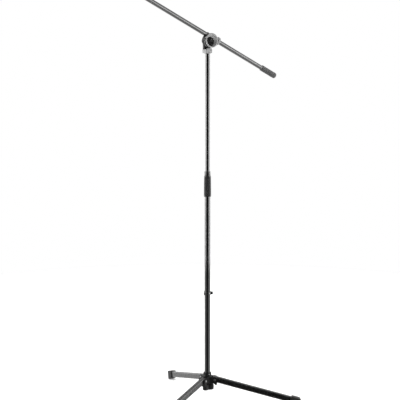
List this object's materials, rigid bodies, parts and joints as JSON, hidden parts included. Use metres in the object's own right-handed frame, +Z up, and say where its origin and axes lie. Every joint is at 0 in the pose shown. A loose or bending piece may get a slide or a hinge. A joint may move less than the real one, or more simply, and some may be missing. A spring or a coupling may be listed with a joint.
{
  "type": "boom microphone stand",
  "caption": "Floor stand with a folding tripod base, a telescopic column and a tilting boom arm that carries a microphone on a threaded stud.",
  "frame": {"origin": "centre of the bottom of the whole stand's box, on the floor", "axes": "+Z up along the column, +X along the leg that points away from the microphone, boom's tail towards +X +Y"},
  "size_m": [0.7076, 0.6808, 1.7027],
  "materials": {
    "tube_black": "gloss black powder coat",
    "leg_black": "satin black powder coat",
    "cover_black": "dead matte",
    "casting_black": "textured black paint",
    "casting_grey": "satin dark grey paint",
    "ring_black": "gloss black",
    "rubber_black": "matte",
    "plastic_black": "fine grained",
    "nylon_black": "smooth",
    "steel_zinc": "dark zinc plate",
    "steel_black": "black oxide",
    "brass_insert": "turned",
    "zinc_insert": "as cast"
  },
  "bodies": {
    "base": {"base_hub": "casting_black", "hub_screw": "steel_zinc", "lower_tube": "tube_black", "leg_pin_1": "steel_zinc", "leg_pin_2": "steel_zinc", "leg_pin_3": "steel_zinc", "rest_ring": "ring_black", "ring_screw": "steel_zinc", "clutch_body": "zinc_insert"},
    "leg_arm_1": {"leg_1": "leg_black", "foot_1": "rubber_black"},
    "leg_arm_2": {"leg_2": "leg_black", "foot_2": "rubber_black"},
    "leg_arm_3": {"leg_3": "leg_black", "foot_3": "rubber_black"},
    "base_clamp": {"clamp_plate": "casting_black", "knob_washer": "steel_zinc"},
    "knob": {"base_knob": "plastic_black", "knob_stud": "steel_zinc"},
    "grip": {"clutch_grip": "plastic_black", "clutch_collar": "ring_black", "rod_wiper": "rubber_black"},
    "collet": {"clutch_collet": "nylon_black"},
    "rod": {"upper_rod": "tube_black", "rod_bush": "nylon_black", "rod_stud": "steel_zinc", "swivel_base": "casting_grey", "swivel_cheek": "casting_black"},
    "boom_clamp": {"friction_disc": "rubber_black", "inner_jaw": "casting_black", "outer_jaw": "casting_grey", "jaw_band": "cover_black", "jaw_cover": "cover_black", "clamp_bolt": "steel_black", "jaw_spring": "steel_zinc", "handle_washer": "steel_zinc"},
    "handle": {"clamp_handle": "plastic_black", "handle_insert": "brass_insert"},
    "liner": {"boom_liner": "nylon_black"},
    "boom": {"boom_tube": "tube_black", "tail_grip": "rubber_black", "mic_stud": "steel_zinc"}
  },
  "joints": [
    {"name": "leg_fold_1", "type": "hinge", "parent": "base", "child": "leg_arm_1", "pos_m": [-0.00307, 0, 0.107], "axis": [0, -1, 0], "range_deg": [0, 102]},
    {"name": "leg_fold_2", "type": "hinge", "parent": "base", "child": "leg_arm_2", "pos_m": [-0.05107, 0.02771, 0.107], "axis": [0.866, 0.5, 0], "range_deg": [0, 102]},
    {"name": "leg_fold_3", "type": "hinge", "parent": "base", "child": "leg_arm_3", "pos_m": [-0.05107, -0.02771, 0.107], "axis": [-0.866, 0.5, 0], "range_deg": [0, 102]},
    {"name": "base_clamp_travel", "type": "slide", "parent": "base", "child": "base_clamp", "axis": [0, 0, -1], "range_m": [0, 0.0025]},
    {"name": "base_knob_turn", "type": "hinge", "parent": "base_clamp", "child": "knob", "pos_m": [-0.03507, 0, 0.0875], "axis": [0, 0, -1], "range_deg": [0, 720]},
    {"name": "grip_turn", "type": "hinge", "parent": "base", "child": "grip", "pos_m": [-0.03507, 0, 0.868], "axis": [0, 0, 1], "range_deg": [0, 180]},
    {"name": "rod_turn", "type": "hinge", "parent": "base", "child": "collet", "pos_m": [-0.03507, 0, 0.951], "axis": [0, 0, 1], "continuous": true},
    {"name": "rod_height", "type": "slide", "parent": "collet", "child": "rod", "axis": [0, 0, 1], "range_m": [-0.46, 0.11]},
    {"name": "boom_tilt", "type": "hinge", "parent": "rod", "child": "boom_clamp", "pos_m": [-0.03507, 0, 1.491], "axis": [-0.6293, 0.7771, 0], "range_deg": [-94, 35]},
    {"name": "handle_turn", "type": "hinge", "parent": "boom_clamp", "child": "handle", "pos_m": [-0.05049, 0.01904, 1.491], "axis": [-0.6293, 0.7771, 0], "range_deg": [0, 360]},
    {"name": "boom_roll", "type": "hinge", "parent": "boom_clamp", "child": "liner", "pos_m": [-0.02193, -0.00673, 1.50399], "axis": [0.706, 0.5717, -0.4179], "continuous": true},
    {"name": "boom_slide", "type": "slide", "parent": "liner", "child": "boom", "axis": [0.706, 0.5717, -0.4179], "range_m": [-0.235, 0.4]}
  ],
  "couplings": [
    {"joint": "base_knob_turn", "follows": "base_clamp_travel", "rad_per_m": 5026.5}
  ]
}
